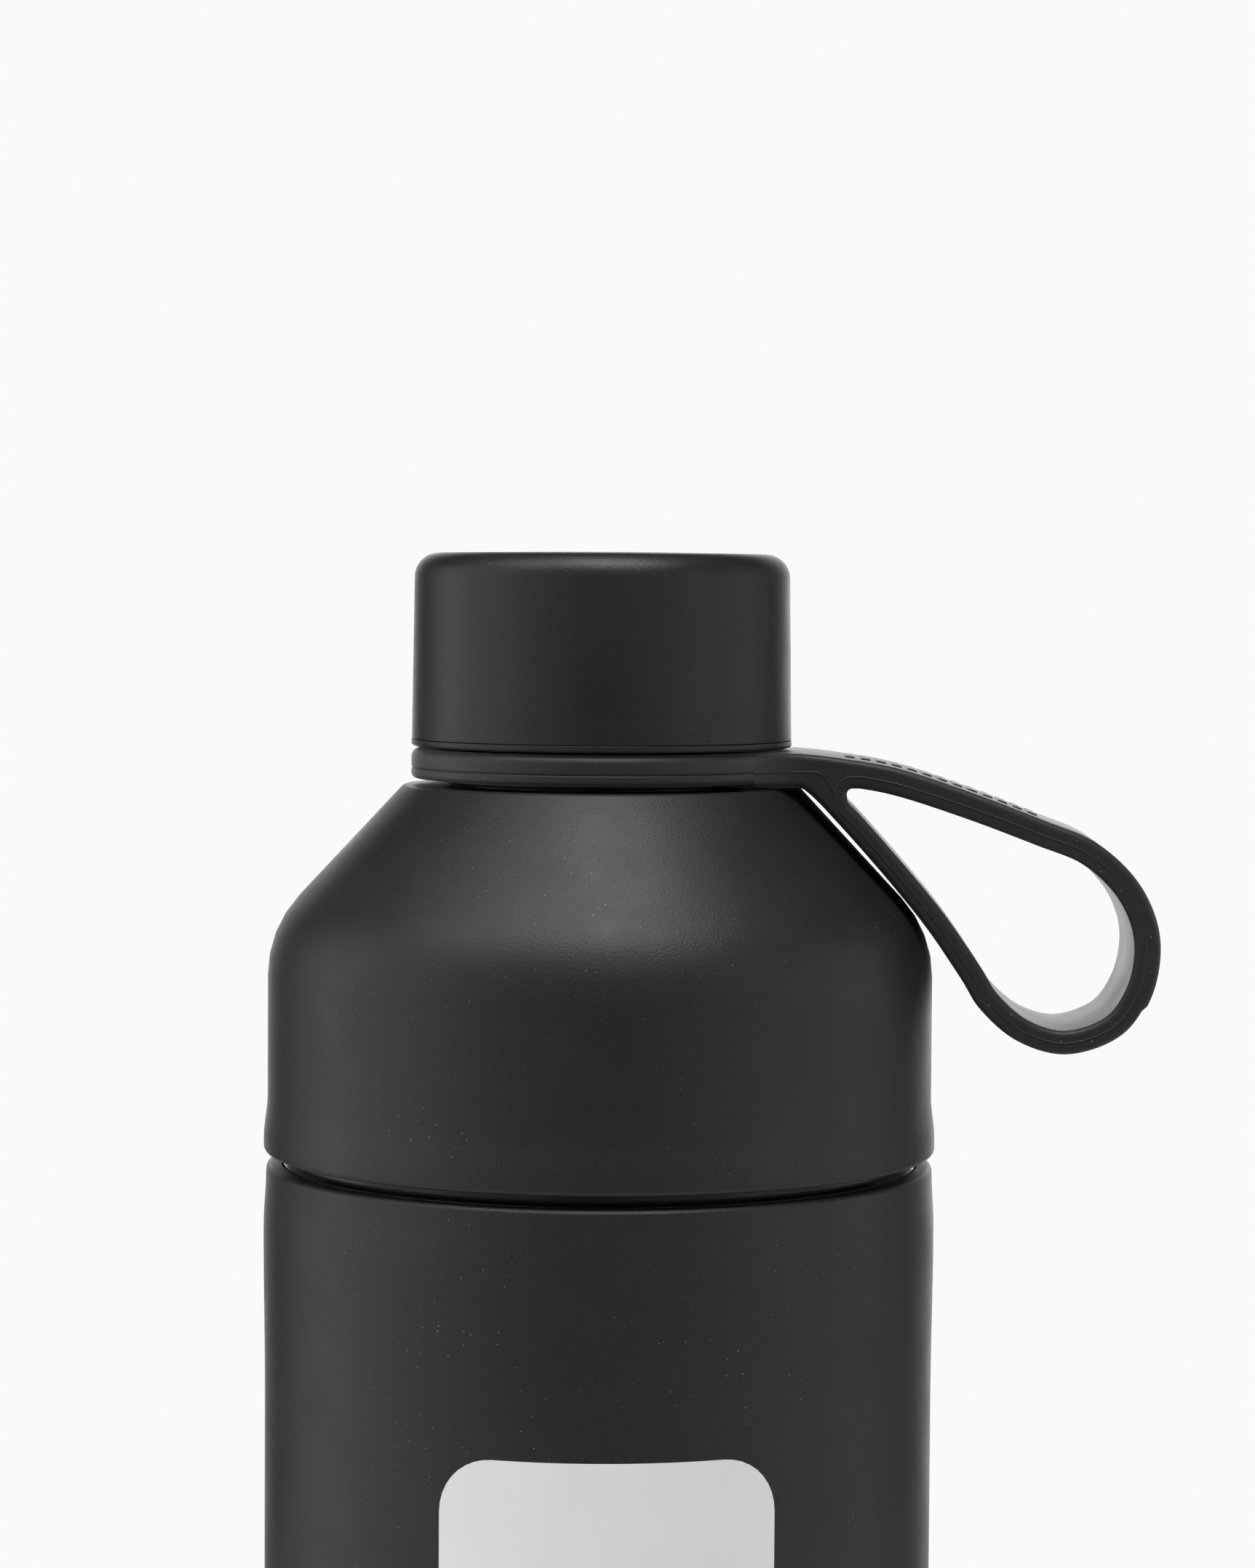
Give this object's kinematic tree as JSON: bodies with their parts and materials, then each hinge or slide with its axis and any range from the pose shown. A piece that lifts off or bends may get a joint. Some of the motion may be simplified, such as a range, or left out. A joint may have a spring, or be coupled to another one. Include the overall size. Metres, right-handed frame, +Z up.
{
  "type": "insulated water bottle",
  "caption": "Slim steel vacuum-insulated water bottle with a screw-off sloped shoulder, a screw cap and a silicone carrying loop.",
  "frame": {"origin": "middle of the base pad's underside, on the surface the bottle stands on", "axes": "+Z up the bottle's axis towards the cap, +X towards the carrying loop, +Y to the left of the loop seen from above"},
  "size_m": [0.1166, 0.0884, 0.2843],
  "materials": {
    "coated_steel": "fine-grained matte powder coat",
    "bare_steel": "electropolished stainless steel",
    "cap_plastic": "fine satin moulded",
    "inner_plastic": "smooth moulded",
    "strap_silicone": "matte silicone",
    "seal_silicone": "matte silicone",
    "foam": "closed-cell foam",
    "getter_metal": "stamped",
    "sealing_glass": "fused bead"
  },
  "bodies": {
    "flask": {"outer_shell": "coated_steel", "inner_liner": "bare_steel", "base_dish": "bare_steel", "exhaust_seal": "sealing_glass", "getter_capsule": "getter_metal", "base_pad": "seal_silicone"},
    "seam_seal": {"seam_gasket": "seal_silicone"},
    "chamber": {"chamber_shell": "coated_steel", "chamber_moulding": "inner_plastic", "spout": "inner_plastic", "spout_seal": "seal_silicone"},
    "lip_seal": {"cap_seal": "seal_silicone"},
    "cap": {"cap_shell": "cap_plastic", "cap_insert": "cap_plastic", "cap_foam": "foam"},
    "strap_neck": {"neck_ring": "strap_silicone"},
    "strap_carry": {"strap_loop": "strap_silicone"}
  },
  "joints": [
    {"name": "chamber_lift", "type": "slide", "parent": "flask", "child": "seam_seal", "axis": [0, 0, 1], "range_m": [0, 0.0181]},
    {"name": "chamber_turn", "type": "hinge", "parent": "seam_seal", "child": "chamber", "pos_m": [0, 0, 0.2055], "axis": [0, 0, 1], "range_deg": [0, 1080]},
    {"name": "cap_lift", "type": "slide", "parent": "chamber", "child": "lip_seal", "axis": [0, 0, 1], "range_m": [0, 0.0241]},
    {"name": "cap_turn", "type": "hinge", "parent": "lip_seal", "child": "cap", "pos_m": [0, 0, 0.2588], "axis": [0, 0, 1], "range_deg": [0, 1440]},
    {"name": "strap_swivel", "type": "hinge", "parent": "chamber", "child": "strap_neck", "pos_m": [0, 0, 0.25655], "axis": [0, 0, 1], "continuous": true},
    {"name": "strap_flex", "type": "hinge", "parent": "strap_neck", "child": "strap_carry", "pos_m": [0.0286, 0, 0.25655], "axis": [0, -1, 0], "range_deg": [0, 60], "stiffness_Nm_per_rad": 0.02}
  ],
  "couplings": [
    {"joint": "chamber_lift", "follows": "chamber_turn", "m_per_rad": 0.00095493},
    {"joint": "cap_lift", "follows": "cap_turn", "m_per_rad": 0.00095493}
  ]
}
